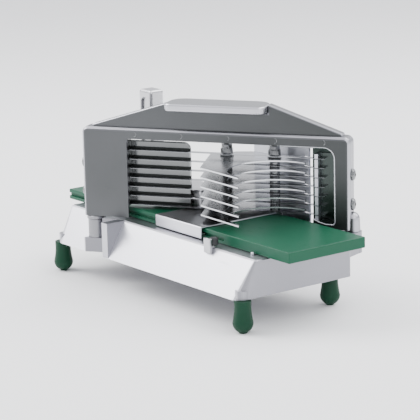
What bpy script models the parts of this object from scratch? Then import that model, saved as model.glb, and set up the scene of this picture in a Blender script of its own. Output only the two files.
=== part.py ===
"""Vegetable dicer: a diagonal blade frame over a sliding board, with a finned pusher carriage."""
import math

import bmesh
import bpy
from mathutils import Matrix, Vector

# ---------------------------------------------------------------- driving dimensions (metres)
GAP = 0.0003            # air left between parts that touch
SEAT = 0.0005           # running clearance of sliding and bored fits

BASE_LENGTH = 0.4226    # cast housing, along X
BASE_DEPTH = 0.1888     # cast housing at its lower edge, along Y
BASE_LOW = 0.0428       # lower edge of the housing above the floor
BASE_TOP = 0.0917       # rim of the housing above the floor
BASE_SLOPE = 0.0291     # how far the front wall leans back
BASE_WALL = 0.0045

FOOT_RADIUS = 0.0135    # widest part of the rubber foot
FOOT_NECK = 0.0109
FOOT_X0 = BASE_LENGTH / 2 - 0.0038     # front feet, either side of the middle
FOOT_Y0 = -BASE_DEPTH / 2 + 0.0100

BOARD_X0 = -BASE_LENGTH / 2 - 0.0337    # slide board, left and right ends
BOARD_X1 = BASE_LENGTH / 2 + 0.0437
BOARD_Y0 = -0.0465      # slide board, front and rear edges
BOARD_Y1 = 0.0800
BOARD_THICK = 0.0146
BOARD_GROOVE = 0.0048   # height of the guide grooves
BOARD_GROOVE_X1 = 0.122 # the grooves end here
BOARD_LOW = BASE_TOP + GAP
BOARD_TOP = BOARD_LOW + BOARD_THICK

PANEL_ANGLE = math.radians(33.86)       # blade frame, turned from the long side
PANEL_X = -0.1339                       # lower left front corner of the blade frame
PANEL_Y = -0.0945
PANEL_LENGTH = 0.380
PANEL_DEPTH = 0.026
PANEL_LOW = BASE_TOP + 0.0031
PANEL_TOP = BOARD_TOP + 0.1134
PANEL_WALL = 0.0037
PANEL_EDGE = 0.0050      # rounding of the frame's outer edges
OPEN_U0 = 0.066         # opening of the blade frame, along its length
OPEN_U1 = PANEL_LENGTH - 0.0207
OPEN_TOP = PANEL_TOP - 0.0150

BLADE_PITCH = 0.0127    # half-inch cut
BLADE_COUNT = 7
BLADE_TOP = OPEN_TOP - 0.0165   # middle of the uppermost blade
BLADE_THICK = 0.0008
BLADE_OFF0 = 0.0060     # blade edges, measured square to the frame
BLADE_OFF1 = 0.0160
COMB_WIDTH = 0.0045     # slotted bar that spaces the blades

FIN_THICK = 0.0017
FIN_COUNT = BLADE_COUNT - 1
NOTCH_X = 0.133         # round mouth of the fins
NOTCH_Y = 0.026
NOTCH_RADIUS = 0.0590
ROD_SPOTS = ((0.018, 0.040), (0.0725, 0.0787))
ROD_RADIUS = 0.0040
SLEEVE_RADIUS = 0.0070
ROD_TOP = OPEN_TOP - 0.0020

SADDLE_X0 = -0.0220     # carriage plate over the board
SADDLE_X1 = 0.080
SADDLE_Y0 = -0.0530
SADDLE_Y1 = 0.0860
SADDLE_THICK = 0.0020
SADDLE_LOW = BOARD_TOP + SEAT
SADDLE_TOP = SADDLE_LOW + SADDLE_THICK
SKIRT_LOW = BASE_TOP + 0.0013   # lower edge of the carriage skirts
GROOVE_Z = BOARD_LOW + BOARD_THICK * 0.5

BODY_X0 = -0.150        # cast pusher body
BODY_X1 = -0.006
BODY_Y0 = 0.012
BODY_Y1 = 0.050
BODY_HIGH = 0.0255
HANDLE_X = -0.135       # upright handle, middle
HANDLE_Y = 0.0235
HANDLE_WIDE = 0.028
HANDLE_DEEP = 0.020
HANDLE_TOP = PANEL_TOP + 0.0370

FENCE_X0 = 0.008        # polished plate behind the fins
FENCE_X1 = 0.126
FENCE_LOW = BASE_TOP - 0.0217
FENCE_TOP = OPEN_TOP - 0.0020
FENCE_SCREW_Z = FENCE_LOW + 0.0100
FENCE_THICK = 0.0024
FENCE_SCREW_RADIUS = 0.0022

LUG_U = 0.3800          # domed lug at the right end of the frame
LUG_OFF = 0.0130
LUG_RADIUS = 0.0100
SIDE_SCREW_LEVELS = (PANEL_LOW + 0.0732, PANEL_LOW + 0.0332)
SIDE_SCREW_RADIUS = 0.0030
SPIGOT_U = 0.0135       # left support of the frame
SPIGOT_RADIUS = 0.0122
WASHER_RADIUS = 0.0135
WASHER_LOW = BASE_TOP - 0.0032
POCKET_FLOOR = BASE_TOP - 0.0287
BRACKET_RADIUS = 0.0125
STOP_X = 0.1195         # stop on the front rim

PAD_U0 = 0.124          # grip on top of the frame
PAD_U1 = 0.266
PAD_LOW = PANEL_TOP + 0.0270
PAD_TOP = PAD_LOW + 0.0110

SIN = math.sin(PANEL_ANGLE)
COS = math.cos(PANEL_ANGLE)
BASE_FRONT = -BASE_DEPTH / 2
BASE_REAR = BASE_DEPTH / 2
BASE_RIM_FRONT = BASE_FRONT + BASE_SLOPE


def panel_point(u, off):
    """World X, Y of a place given along and square to the blade frame."""
    return PANEL_X + u * COS - off * SIN, PANEL_Y + u * SIN + off * COS


LUG_X, LUG_Y = panel_point(LUG_U, LUG_OFF)
SPIGOT_X, SPIGOT_Y = panel_point(SPIGOT_U, LUG_OFF)
SHIFT = Vector((-(BOARD_X0 + BOARD_X1) / 2, -(LUG_Y + BRACKET_RADIUS + FOOT_Y0 - FOOT_RADIUS) / 2, 0))

# ---------------------------------------------------------------- scene and helpers
for old in list(bpy.data.objects):
    bpy.data.objects.remove(old, do_unlink=True)

PARTS = bpy.data.collections.new("vegetable_dicer")
CUTTERS = bpy.data.collections.new("cutters")
bpy.context.scene.collection.children.link(PARTS)
bpy.context.scene.collection.children.link(CUTTERS)
CUTTERS.hide_render = True


def finish(name, color, roughness, metallic):
    """Principled material."""
    mat = bpy.data.materials.new(name)
    mat.use_nodes = True
    shader = mat.node_tree.nodes["Principled BSDF"]
    shader.inputs["Base Color"].default_value = (*color, 1)
    shader.inputs["Roughness"].default_value = roughness
    shader.inputs["Metallic"].default_value = metallic
    mat.diffuse_color = (*color, 1)
    return mat


CAST = dict(color=(0.62, 0.63, 0.66), roughness=0.38, metallic=1.0)
STEEL = dict(color=(0.66, 0.67, 0.70), roughness=0.22, metallic=1.0)
BRIGHT = dict(color=(0.78, 0.79, 0.82), roughness=0.12, metallic=1.0)
GREEN = dict(color=(0.085, 0.235, 0.165), roughness=0.42, metallic=0.0)
RUBBER = dict(color=(0.050, 0.160, 0.095), roughness=0.65, metallic=0.0)
DARK = dict(color=(0.040, 0.042, 0.045), roughness=0.50, metallic=0.0)


def adopt(obj, name, look):
    """Name an object, give it its own material and put it with the parts."""
    obj.name = name
    obj.data.name = name
    obj.data.materials.clear()
    obj.data.materials.append(finish(name, **look))
    for home in list(obj.users_collection):
        home.objects.unlink(obj)
    PARTS.objects.link(obj)
    obj.location = obj.location + SHIFT
    return obj


def hide(obj):
    """Put a cutter away."""
    for home in list(obj.users_collection):
        home.objects.unlink(obj)
    CUTTERS.objects.link(obj)
    obj.location = obj.location + SHIFT
    obj.hide_render = True
    obj.display_type = "WIRE"
    return obj


def block(x0, x1, y0, y1, z0, z1):
    """Box between two corners."""
    bpy.ops.mesh.primitive_cube_add(size=1, location=((x0 + x1) / 2, (y0 + y1) / 2, (z0 + z1) / 2))
    obj = bpy.context.object
    size = Matrix.Diagonal((x1 - x0, y1 - y0, z1 - z0, 1))
    obj.data.transform(size)
    return obj


def rod(x, y, z0, z1, radius, vertices=32):
    """Upright cylinder."""
    bpy.ops.mesh.primitive_cylinder_add(vertices=vertices, radius=radius, depth=z1 - z0,
                                        location=(x, y, (z0 + z1) / 2))
    obj = bpy.context.object
    smooth(obj)
    return obj


def smooth(obj, angle=35):
    """Smooth shading with the edges above an angle kept sharp."""
    mesh = obj.data
    mesh.polygons.foreach_set("use_smooth", [True] * len(mesh.polygons))
    mesh.set_sharp_from_angle(angle=math.radians(angle))


def rounded(points, radii, steps=6):
    """Outline with rounded corners."""
    out = []
    count = len(points)
    for i, (point, radius) in enumerate(zip(points, radii)):
        here = Vector(point)
        before = (Vector(points[i - 1]) - here).normalized()
        after = (Vector(points[(i + 1) % count]) - here).normalized()
        if radius <= 0:
            out.append(tuple(here))
            continue
        half = before.angle(after) / 2
        reach = radius / math.tan(half)
        centre = here + (before + after).normalized() * radius / math.sin(half)
        start = here + before * reach - centre
        end = here + after * reach - centre
        turn = start.angle_signed(end)
        for k in range(steps + 1):
            spot = centre + Matrix.Rotation(-turn * k / steps, 2) @ start
            out.append(tuple(spot))
    return out


def plate(outlines, thickness):
    """Flat plate in its own XY plane from an outer outline and any inner ones, as a mesh."""
    curve = bpy.data.curves.new("outline", "CURVE")
    curve.dimensions = "2D"
    curve.fill_mode = "BOTH"
    curve.extrude = thickness / 2
    for outline in outlines:
        spline = curve.splines.new("POLY")
        spline.points.add(len(outline) - 1)
        for point, (x, y) in zip(spline.points, outline):
            point.co = (x, y, 0, 1)
        spline.use_cyclic_u = True
    shape = bpy.data.objects.new("outline", curve)
    bpy.context.scene.collection.objects.link(shape)
    bpy.context.view_layer.update()
    mesh = bpy.data.meshes.new_from_object(shape.evaluated_get(bpy.context.evaluated_depsgraph_get()))
    bpy.data.objects.remove(shape, do_unlink=True)
    bpy.data.curves.remove(curve)
    work = bmesh.new()
    work.from_mesh(mesh)
    bmesh.ops.remove_doubles(work, verts=work.verts, dist=0.00001)
    bmesh.ops.dissolve_limit(work, angle_limit=0.002, verts=work.verts, edges=work.edges)
    bmesh.ops.recalc_face_normals(work, faces=work.faces)
    work.to_mesh(mesh)
    work.free()
    obj = bpy.data.objects.new("plate", mesh)
    bpy.context.scene.collection.objects.link(obj)
    return obj


def flat_plate(outlines, z0, z1):
    """Plate lying level between two heights."""
    obj = plate(outlines, z1 - z0)
    obj.location = (0, 0, (z0 + z1) / 2)
    return obj


def stand(obj, off):
    """Stand a plate drawn in length and height up in the blade frame's plane."""
    obj.data.transform(Matrix.Rotation(math.pi / 2, 4, "X"))
    obj.rotation_euler = (0, 0, PANEL_ANGLE)
    x, y = panel_point(0, off)
    obj.location = (x, y, 0)
    return obj


def panel_plate(outlines, off0, off1):
    """Plate in the blade frame's plane, between two depths."""
    return stand(plate(outlines, off1 - off0), (off0 + off1) / 2)


def panel_block(u0, u1, off0, off1, z0, z1):
    """Box square to the blade frame."""
    obj = block(u0, u1, off0, off1, z0, z1)
    place = obj.location.copy()
    x, y = panel_point(place.x, place.y)
    obj.location = (x, y, place.z)
    obj.rotation_euler = (0, 0, PANEL_ANGLE)
    return obj


def turned(profile, x, y, steps=40):
    """Body turned about an upright axis from a profile that runs down its outer side."""
    mesh = bpy.data.meshes.new("profile")
    count = len(profile)
    mesh.from_pydata([(r, 0, z) for r, z in profile], [(i, i + 1) for i in range(count - 1)], [])
    obj = bpy.data.objects.new("turned", mesh)
    bpy.context.scene.collection.objects.link(obj)
    obj.location = (x, y, 0)
    screw = obj.modifiers.new("turn", "SCREW")
    screw.axis = "Z"
    screw.angle = math.tau
    screw.steps = steps
    screw.render_steps = steps
    screw.use_merge_vertices = True
    screw.merge_threshold = 0.00005
    screw.use_smooth_shade = True
    screw.use_normal_calculate = True
    return settle(obj)


def settle(obj):
    """Replace an object's mesh with its evaluated one and drop the modifiers."""
    bpy.context.view_layer.update()
    graph = bpy.context.evaluated_depsgraph_get()
    mesh = bpy.data.meshes.new_from_object(obj.evaluated_get(graph))
    obj.modifiers.clear()
    obj.data = mesh
    work = bmesh.new()
    work.from_mesh(mesh)
    bmesh.ops.remove_doubles(work, verts=work.verts, dist=0.000005)
    bmesh.ops.dissolve_degenerate(work, edges=work.edges, dist=0.000005)
    bmesh.ops.recalc_face_normals(work, faces=work.faces)
    work.to_mesh(mesh)
    work.free()
    return obj


def combine(target, tool, operation):
    """Exact boolean that is applied at once."""
    mod = target.modifiers.new("combine", "BOOLEAN")
    mod.solver = "EXACT"
    mod.operation = operation
    mod.object = tool
    settle(target)
    return target


def cut(target, tool):
    """Take a cutter's shape out of a part; the cutter is kept out of sight."""
    combine(target, tool, "DIFFERENCE")
    hide(tool)
    return target


def fuse(target, tool):
    """Add a piece of the same casting."""
    combine(target, tool, "UNION")
    bpy.data.objects.remove(tool, do_unlink=True)
    return target


def soften(obj, width, segments=2, angle=40):
    """Rounded edges."""
    mod = obj.modifiers.new("soften", "BEVEL")
    mod.width = width
    mod.segments = segments
    mod.limit_method = "ANGLE"
    mod.angle_limit = math.radians(angle)
    mod.use_clamp_overlap = True
    settle(obj)
    smooth(obj)
    return obj


def loft(rings):
    """Closed body through level rings that have the same number of points."""
    work = bmesh.new()
    rows = [[work.verts.new(point) for point in ring] for ring in rings]
    count = len(rows[0])
    for low, high in zip(rows, rows[1:]):
        for i in range(count):
            j = (i + 1) % count
            work.faces.new((low[i], low[j], high[j], high[i]))
    work.faces.new(list(reversed(rows[0])))
    work.faces.new(rows[-1])
    bmesh.ops.recalc_face_normals(work, faces=work.faces)
    mesh = bpy.data.meshes.new("loft")
    work.to_mesh(mesh)
    work.free()
    obj = bpy.data.objects.new("loft", mesh)
    bpy.context.scene.collection.objects.link(obj)
    return obj


def base_ring(z, inset, front_radius):
    """Rounded outline of the housing at one height."""
    lean = BASE_SLOPE * (z - BASE_LOW) / (BASE_TOP - BASE_LOW)
    x = BASE_LENGTH / 2 - inset
    y0 = BASE_FRONT + lean + inset
    y1 = BASE_REAR - inset
    corners = [(-x, y0), (x, y0), (x, y1), (-x, y1)]
    outline = rounded(corners, [front_radius, front_radius, 0.005, 0.005])
    return [(px, py, z) for px, py in outline]


def arc(cx, cy, radius, start, end, steps):
    """Points along an arc, angles in degrees."""
    out = []
    for k in range(steps + 1):
        a = math.radians(start + (end - start) * k / steps)
        out.append((cx + radius * math.cos(a), cy + radius * math.sin(a)))
    return out


# ---------------------------------------------------------------- base casting
def build_base():
    """Housing: leaning front wall, open underneath, with a boss, a bracket and foot bosses."""
    base = loft([base_ring(BASE_LOW, 0, 0.016), base_ring(BASE_TOP - 0.0015, 0, 0.0045),
                 base_ring(BASE_TOP, 0.0015, 0.0038)])
    hollow = loft([base_ring(BASE_LOW - 0.002, BASE_WALL, 0.026),
                   base_ring(BASE_TOP - BASE_WALL, BASE_WALL, 0.022)])
    cut(base, hollow)
    fuse(base, block(-0.136, -0.079, BASE_FRONT, BASE_RIM_FRONT + 0.012, BASE_LOW + 0.0002, BASE_TOP - 0.0002))
    wedge = flat_plate([[(-0.134, BASE_FRONT), (-0.134 - 0.02, BASE_FRONT - 0.02),
                         (-0.092, BASE_FRONT - 0.02), (-0.092, BASE_FRONT + 0.042 * SIN / COS)]],
                       BASE_LOW - 0.003, BASE_TOP + 0.003)
    cut(base, wedge)
    cut(base, rod(SPIGOT_X, SPIGOT_Y, POCKET_FLOOR, BASE_TOP + 0.004, WASHER_RADIUS + 0.001, 48))
    cut(base, panel_block(SPIGOT_U - WASHER_RADIUS - 0.004, SPIGOT_U + WASHER_RADIUS - 0.0004, LUG_OFF - 0.04,
                          LUG_OFF, POCKET_FLOOR, BASE_TOP + 0.004))
    outline = [(0.148, BASE_REAR - 0.002)]
    outline += arc(LUG_X, LUG_Y, BRACKET_RADIUS, 180, 0, 24)
    outline += [(0.199, BASE_REAR - 0.002)]
    fuse(base, flat_plate([outline], POCKET_FLOOR, BASE_TOP))
    for x, y in foot_spots():
        side = 1 if x > 0 else -1
        inner = min(abs(x), BASE_LENGTH / 2 - 0.008) * side
        depth = 0.008 if y > 0 else 0.012
        spot = max(min(y, BASE_REAR - depth), BASE_FRONT + depth)
        fuse(base, rod(inner, spot, BASE_LOW + 0.0002, BASE_LOW + 0.012, 0.0085, 24))
    for x in (FENCE_X0 + 0.02, FENCE_X1 - 0.02):
        cut(base, level_rod(x, BASE_REAR, FENCE_SCREW_Z, FENCE_SCREW_RADIUS + GAP, 0.02))
    smooth(base)
    return adopt(base, "base_housing", CAST)


def level_rod(x, y, z, radius, length, vertices=24):
    """Cylinder lying along Y, centred at y."""
    bpy.ops.mesh.primitive_cylinder_add(vertices=vertices, radius=radius, depth=length,
                                        location=(x, y, z), rotation=(math.pi / 2, 0, 0))
    obj = bpy.context.object
    obj.data.transform(Matrix.Rotation(math.pi / 2, 4, "X"))
    obj.rotation_euler = (0, 0, 0)
    smooth(obj)
    return obj


def foot_spots():
    """Places of the four feet."""
    rear = BASE_REAR - 0.0114
    return ((-FOOT_X0, FOOT_Y0), (FOOT_X0, FOOT_Y0), (FOOT_X0 - 0.0275, rear), (-FOOT_X0 + 0.0175, rear))


def build_feet():
    """Rubber feet: straight neck that flares to a round lower end with a small flat underneath."""
    top = BASE_LOW - GAP
    wide = FOOT_RADIUS
    flare = wide - FOOT_NECK
    profile = [(0, top), (FOOT_NECK + 0.0002, top), (FOOT_NECK, 0.034), (FOOT_NECK + flare * 0.06, 0.029),
               (FOOT_NECK + flare * 0.28, 0.024), (FOOT_NECK + flare * 0.62, 0.0185), (wide - 0.0003, 0.0150),
               (wide, 0.0135)]
    for k in range(1, 7):
        a = math.radians(k * 11)
        profile.append((wide * math.cos(a), wide - wide * math.sin(a)))
    profile += [(0.0052, 0), (0, 0)]
    names = ("foot_front_left", "foot_front_right", "foot_rear_right", "foot_rear_left")
    for name, (x, y) in zip(names, foot_spots()):
        adopt(turned(profile, x, y, 32), name, RUBBER)


# ---------------------------------------------------------------- slide board
def build_board():
    """Long board with rounded edges; a guide groove runs in each long edge from the left end."""
    board = block(BOARD_X0, BOARD_X1, BOARD_Y0, BOARD_Y1, BOARD_LOW, BOARD_TOP)
    soften(board, 0.0014, 3, 60)
    half = BOARD_GROOVE / 2
    for edge, way in ((BOARD_Y0, -1), (BOARD_Y1, 1)):
        y0, y1 = sorted((edge + way * 0.004, edge - way * 0.0032))
        cut(board, block(BOARD_X0 - 0.004, BOARD_GROOVE_X1, y0, y1, GROOVE_Z - half, GROOVE_Z + half))
    smooth(board)
    return adopt(board, "slide_board", GREEN)


def run_along_x(section, x0, x1):
    """Body with a constant Y, Z section between two X places."""
    obj = plate([section], x1 - x0)
    obj.data.transform(Matrix(((0, 0, 1, 0), (1, 0, 0, 0), (0, 1, 0, 0), (0, 0, 0, 1))))
    obj.location = ((x0 + x1) / 2, 0, 0)
    return obj


# ---------------------------------------------------------------- blade frame
def build_frame():
    """Portal casting: thin front wall, end walls, beam, gable, lug and the lip at the lower right."""
    below = PANEL_LOW - 0.010
    outer = rounded([(0, below), (0, PANEL_TOP), (PANEL_LENGTH, PANEL_TOP), (PANEL_LENGTH, below)],
                    [0, 0.009, 0.009, 0], 8)
    frame = panel_plate([outer], 0, PANEL_DEPTH)
    soften(frame, PANEL_EDGE, 4, 60)
    cut(frame, panel_block(-0.01, PANEL_LENGTH + 0.01, -0.01, PANEL_DEPTH + 0.01, below - 0.01, PANEL_LOW))
    lip = [(OPEN_U1 - 0.030, PANEL_LOW + 0.0132), (OPEN_U1 - 0.022, PANEL_LOW + 0.0092),
           (OPEN_U1 - 0.013, PANEL_LOW + 0.0067), (OPEN_U1, PANEL_LOW + 0.0058)]
    mouth = rounded([(OPEN_U0, PANEL_LOW - 0.01), (OPEN_U0, OPEN_TOP), (OPEN_U1, OPEN_TOP), lip[3], lip[2],
                     lip[1], lip[0], (OPEN_U1 - 0.031, PANEL_LOW - 0.01)], [0, 0.003, 0.015, 0.004, 0, 0, 0, 0])
    cut(frame, panel_plate([mouth], -0.01, PANEL_DEPTH + 0.01))
    inside = OPEN_TOP + 0.0006
    cut(frame, panel_block(PANEL_WALL + 0.0006, OPEN_U0 + 0.01, PANEL_WALL, PANEL_DEPTH + 0.01,
                           PANEL_LOW - 0.01, inside))
    cut(frame, panel_block(OPEN_U1 - 0.04, PANEL_LENGTH - PANEL_WALL - 0.0006, PANEL_WALL,
                           PANEL_DEPTH + 0.01, PANEL_LOW - 0.01, inside))
    gable = [(0.0133, PANEL_TOP - 0.007), (0.0133, PANEL_TOP + 0.0022), (PAD_U0 - GAP, PAD_TOP - 0.002),
             (PAD_U0 - GAP, PAD_LOW - GAP), (PAD_U1 + GAP, PAD_LOW - GAP), (PAD_U1 + GAP, PAD_TOP + 0.001),
             (PANEL_LENGTH - 0.0114, PANEL_TOP + 0.0031), (PANEL_LENGTH - 0.0114, PANEL_TOP - 0.007)]
    crown = BASE_TOP + 0.0263
    dome = [(0, crown)]
    dome += [(LUG_RADIUS * math.sin(math.radians(a)), crown - LUG_RADIUS * (1 - math.cos(math.radians(a))))
             for a in (15, 30, 45, 60, 75, 90)]
    dome += [(LUG_RADIUS + 0.0006, BASE_TOP + GAP), (0, BASE_TOP + GAP)]
    fuse(frame, turned(dome, LUG_X, LUG_Y, 32))
    fuse(frame, panel_block(0.0040, 0.0185, PANEL_WALL - 0.0004, PANEL_DEPTH - 0.004, PANEL_LOW, PANEL_LOW + 0.006))
    for u in (0, PANEL_LENGTH):
        for z in SIDE_SCREW_LEVELS:
            cut(frame, cross_rod(u, LUG_OFF, z, SIDE_SCREW_RADIUS + GAP, 0.02))
    top = panel_plate([gable], 0.0062, 0.0208)
    soften(top, 0.0022, 3, 50)
    fuse(frame, top)
    smooth(frame)
    return adopt(frame, "guard_frame", CAST)


def cross_rod(u, off, z, radius, length, vertices=24):
    """Cylinder lying along the blade frame."""
    bpy.ops.mesh.primitive_cylinder_add(vertices=vertices, radius=radius, depth=length)
    obj = bpy.context.object
    obj.data.transform(Matrix.Rotation(math.pi / 2, 4, "Y"))
    obj.rotation_euler = (0, 0, PANEL_ANGLE)
    x, y = panel_point(u, off)
    obj.location = (x, y, z)
    smooth(obj)
    return obj


def build_support():
    """Washer and spigot that carry the left end of the frame on the pedestal."""
    wash = turned([(0, PANEL_LOW - GAP), (WASHER_RADIUS - 0.001, PANEL_LOW - GAP),
                   (WASHER_RADIUS, PANEL_LOW - GAP - 0.001), (WASHER_RADIUS, WASHER_LOW + 0.001),
                   (WASHER_RADIUS - 0.001, WASHER_LOW), (0, WASHER_LOW)], SPIGOT_X, SPIGOT_Y, 40)
    adopt(wash, "frame_washer", STEEL)
    spig = turned([(0, WASHER_LOW - GAP), (SPIGOT_RADIUS, WASHER_LOW - GAP),
                   (SPIGOT_RADIUS, POCKET_FLOOR + GAP), (0, POCKET_FLOOR + GAP)], SPIGOT_X, SPIGOT_Y, 40)
    adopt(spig, "frame_spigot", STEEL)


def build_pad():
    """Grip pad on top of the gable."""
    outline = rounded([(PAD_U0, -0.013), (PAD_U1, -0.013), (PAD_U1, 0.036), (PAD_U0, 0.036)],
                      [0.010, 0.010, 0.020, 0.020])
    pad = flat_plate([outline], PAD_LOW, PAD_TOP)
    soften(pad, 0.003, 3, 60)
    pad.rotation_euler = (0, 0, PANEL_ANGLE)
    pad.location = (PANEL_X, PANEL_Y, (PAD_LOW + PAD_TOP) / 2)
    return adopt(pad, "grip_pad", STEEL)


def screw_head(u, z, outward, name):
    """Pan head screw in an end wall of the frame, with a driver recess."""
    profile = [(0, 0.0042), (0.0030, 0.0041), (0.0060, 0.0033), (0.0077, 0.0018), (0.0080, 0.0006), (0.0080, 0),
               (SIDE_SCREW_RADIUS, 0), (SIDE_SCREW_RADIUS, -0.0038), (0, -0.0038)]
    obj = turned(profile, 0, 0, 32)
    bpy.ops.mesh.primitive_cylinder_add(vertices=6, radius=0.0026, depth=0.005, location=(0, 0, 0.0042))
    tool = bpy.context.object
    combine(obj, tool, "DIFFERENCE")
    bpy.data.objects.remove(tool, do_unlink=True)
    obj.data.transform(Matrix.Rotation(math.pi / 2 * outward, 4, "Y"))
    obj.rotation_euler = (0, 0, PANEL_ANGLE)
    x, y = panel_point(u + outward * GAP, LUG_OFF)
    obj.location = (x, y, z)
    smooth(obj)
    return adopt(obj, name, STEEL)


def build_side_screws():
    """Two screws in each end wall."""
    for side, u, outward in (("left", 0, -1), ("right", PANEL_LENGTH, 1)):
        for place, z in zip(("upper", "lower"), SIDE_SCREW_LEVELS):
            screw_head(u, z, outward, "side_screw_%s_%s" % (side, place))


# ---------------------------------------------------------------- blades and their holders
def blade_levels():
    """Middle heights of the blades, top to bottom."""
    return [BLADE_TOP - BLADE_PITCH * i for i in range(BLADE_COUNT)]


COMB_L0 = OPEN_U0 - 0.0048
COMB_R0 = PANEL_LENGTH - 0.0490
HOLDER_LOW = OPEN_TOP - 0.1010
HOLDER_HIGH = OPEN_TOP - 0.0100
COMB_L_LOW = SADDLE_TOP + 0.0013


def build_blades():
    """Thin level blades with a ground front edge."""
    mid = (BLADE_OFF0 + BLADE_OFF1) / 2
    for i, z in enumerate(blade_levels()):
        u0, u1 = OPEN_U0 - 0.0070, PANEL_LENGTH - 0.0362
        h = BLADE_THICK / 2
        w = (BLADE_OFF1 - BLADE_OFF0) / 2
        section = [(-w, -h * 0.25), (-w + 0.002, -h), (w, -h), (w, h), (-w + 0.002, h), (-w, h * 0.25)]
        obj = run_along_x(section, 0, u1 - u0)
        obj.location = (0, 0, 0)
        obj.rotation_euler = (0, 0, PANEL_ANGLE)
        x, y = panel_point((u0 + u1) / 2, mid)
        obj.location = (x, y, z)
        adopt(obj, "blade_%d" % (i + 1), BRIGHT)


def slotted_bar(u0, u1, off1, z0, z1):
    """Bar in the blade frame's plane with a slot open to the front for each blade."""
    bar = panel_block(u0, u1, PANEL_WALL + GAP, off1, z0, z1)
    for z in blade_levels():
        h = BLADE_THICK / 2 + GAP
        cut(bar, panel_block(u0 - 0.002, u1 + 0.002, 0, BLADE_OFF1 + GAP, z - h, z + h))
    return bar


def build_holders():
    """Spacing combs at both ends, the holders of the blade ends and the plate that closes the frame behind."""
    left = slotted_bar(COMB_L0, OPEN_U0 - GAP, 0.0190, COMB_L_LOW, OPEN_TOP + 0.0003)
    adopt(left, "blade_comb_left", STEEL)
    right = slotted_bar(COMB_R0, COMB_R0 + COMB_WIDTH, 0.0190, HOLDER_LOW, HOLDER_HIGH)
    adopt(right, "blade_comb_right", BRIGHT)
    u0 = COMB_R0 + COMB_WIDTH + GAP
    plate_obj = panel_block(u0, LUG_U - LUG_RADIUS - 0.0016, BLADE_OFF1 + GAP, 0.0190,
                            HOLDER_LOW, HOLDER_HIGH)
    fuse(plate_obj, panel_block(OPEN_U1 + 0.004, LUG_U - LUG_RADIUS - 0.0016, PANEL_WALL + 0.0010,
                                0.0170, HOLDER_LOW, HOLDER_HIGH))
    adopt(plate_obj, "blade_holder_right", STEEL)
    back = panel_block(OPEN_U1 - 0.0352, LUG_U - LUG_RADIUS - 0.0016, 0.0190 + GAP, 0.0210 + GAP,
                       PANEL_LOW + 0.0008, OPEN_TOP + 0.0003)
    adopt(back, "frame_back_plate", STEEL)
    block_obj = panel_block(PANEL_WALL + 0.0050, 0.0580, PANEL_WALL + 0.0010, 0.0175, COMB_L_LOW + 0.0030, HOLDER_HIGH)
    adopt(block_obj, "blade_holder_left", CAST)


# ---------------------------------------------------------------- rear fence
def build_fence():
    """Polished plate on the rear wall that keeps food against the blades."""
    y0 = BASE_REAR + GAP
    outline = rounded([(FENCE_X0, FENCE_LOW), (FENCE_X0, FENCE_TOP), (FENCE_X1, FENCE_TOP), (FENCE_X1, FENCE_LOW)],
                      [0.004, 0.003, 0.003, 0.004])
    holes = [arc(x, FENCE_SCREW_Z, FENCE_SCREW_RADIUS + GAP, 0, 345, 23) for x in (FENCE_X0 + 0.02, FENCE_X1 - 0.02)]
    fence = plate([outline] + holes, FENCE_THICK)
    fence.data.transform(Matrix.Rotation(math.pi / 2, 4, "X"))
    fence.location = (0, y0 + FENCE_THICK / 2, 0)
    half = BLADE_THICK / 2 + SEAT
    for z in blade_levels():
        cut(fence, block(FENCE_X1 - 0.011, FENCE_X1 + 0.004, y0 - 0.002, y0 + FENCE_THICK + 0.002, z - half, z + half))
    adopt(fence, "rear_fence", BRIGHT)
    for i, x in enumerate((FENCE_X0 + 0.02, FENCE_X1 - 0.02)):
        profile = [(0, 0.0030), (0.0025, 0.0029), (0.0042, 0.0018), (0.0045, 0.0004), (0.0045, 0),
                   (FENCE_SCREW_RADIUS, 0), (FENCE_SCREW_RADIUS, -0.0080), (0, -0.0080)]
        screw = turned(profile, 0, 0, 24)
        screw.data.transform(Matrix.Rotation(-math.pi / 2, 4, "X"))
        screw.location = (x, y0 + FENCE_THICK + GAP, FENCE_SCREW_Z)
        smooth(screw)
        adopt(screw, "fence_screw_%d" % (i + 1), STEEL)


# ---------------------------------------------------------------- stop and pins
def build_stop():
    """Stop at the front rim: a light tab with a dark bumper post behind it."""
    drop = 0.0067
    back = BASE_RIM_FRONT - drop * BASE_SLOPE / (BASE_TOP - BASE_LOW) - 0.0007
    tab = block(STOP_X - 0.0070, STOP_X + 0.0070, back - 0.0035, back, BASE_TOP - drop, BASE_TOP + 0.0133)
    fuse(tab, block(STOP_X - 0.0055, STOP_X + 0.0055, back - 0.0002, -0.0600, BASE_TOP + GAP, BASE_TOP + GAP + 0.0028))
    soften(tab, 0.0006, 1, 60)
    adopt(tab, "stop_tab", CAST)
    z0 = BASE_TOP + 2 * GAP + 0.0028
    top = BASE_TOP + 0.0128
    post = turned([(0, top), (0.0046, top), (0.0060, top - 0.0013), (0.0060, z0), (0, z0)], STOP_X, -0.0618, 32)
    adopt(post, "stop_bumper", DARK)
    z1 = BASE_TOP + 0.0040
    pin = turned([(0, z1), (0.0014, z1 - 0.0002), (0.0024, z1 - 0.0011), (0.0026, z1 - 0.0019),
                  (0.0026, BASE_TOP + GAP), (0, BASE_TOP + GAP)], BASE_LENGTH / 2 - 0.0253, -0.0502, 24)
    adopt(pin, "rim_pin", BRIGHT)


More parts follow.
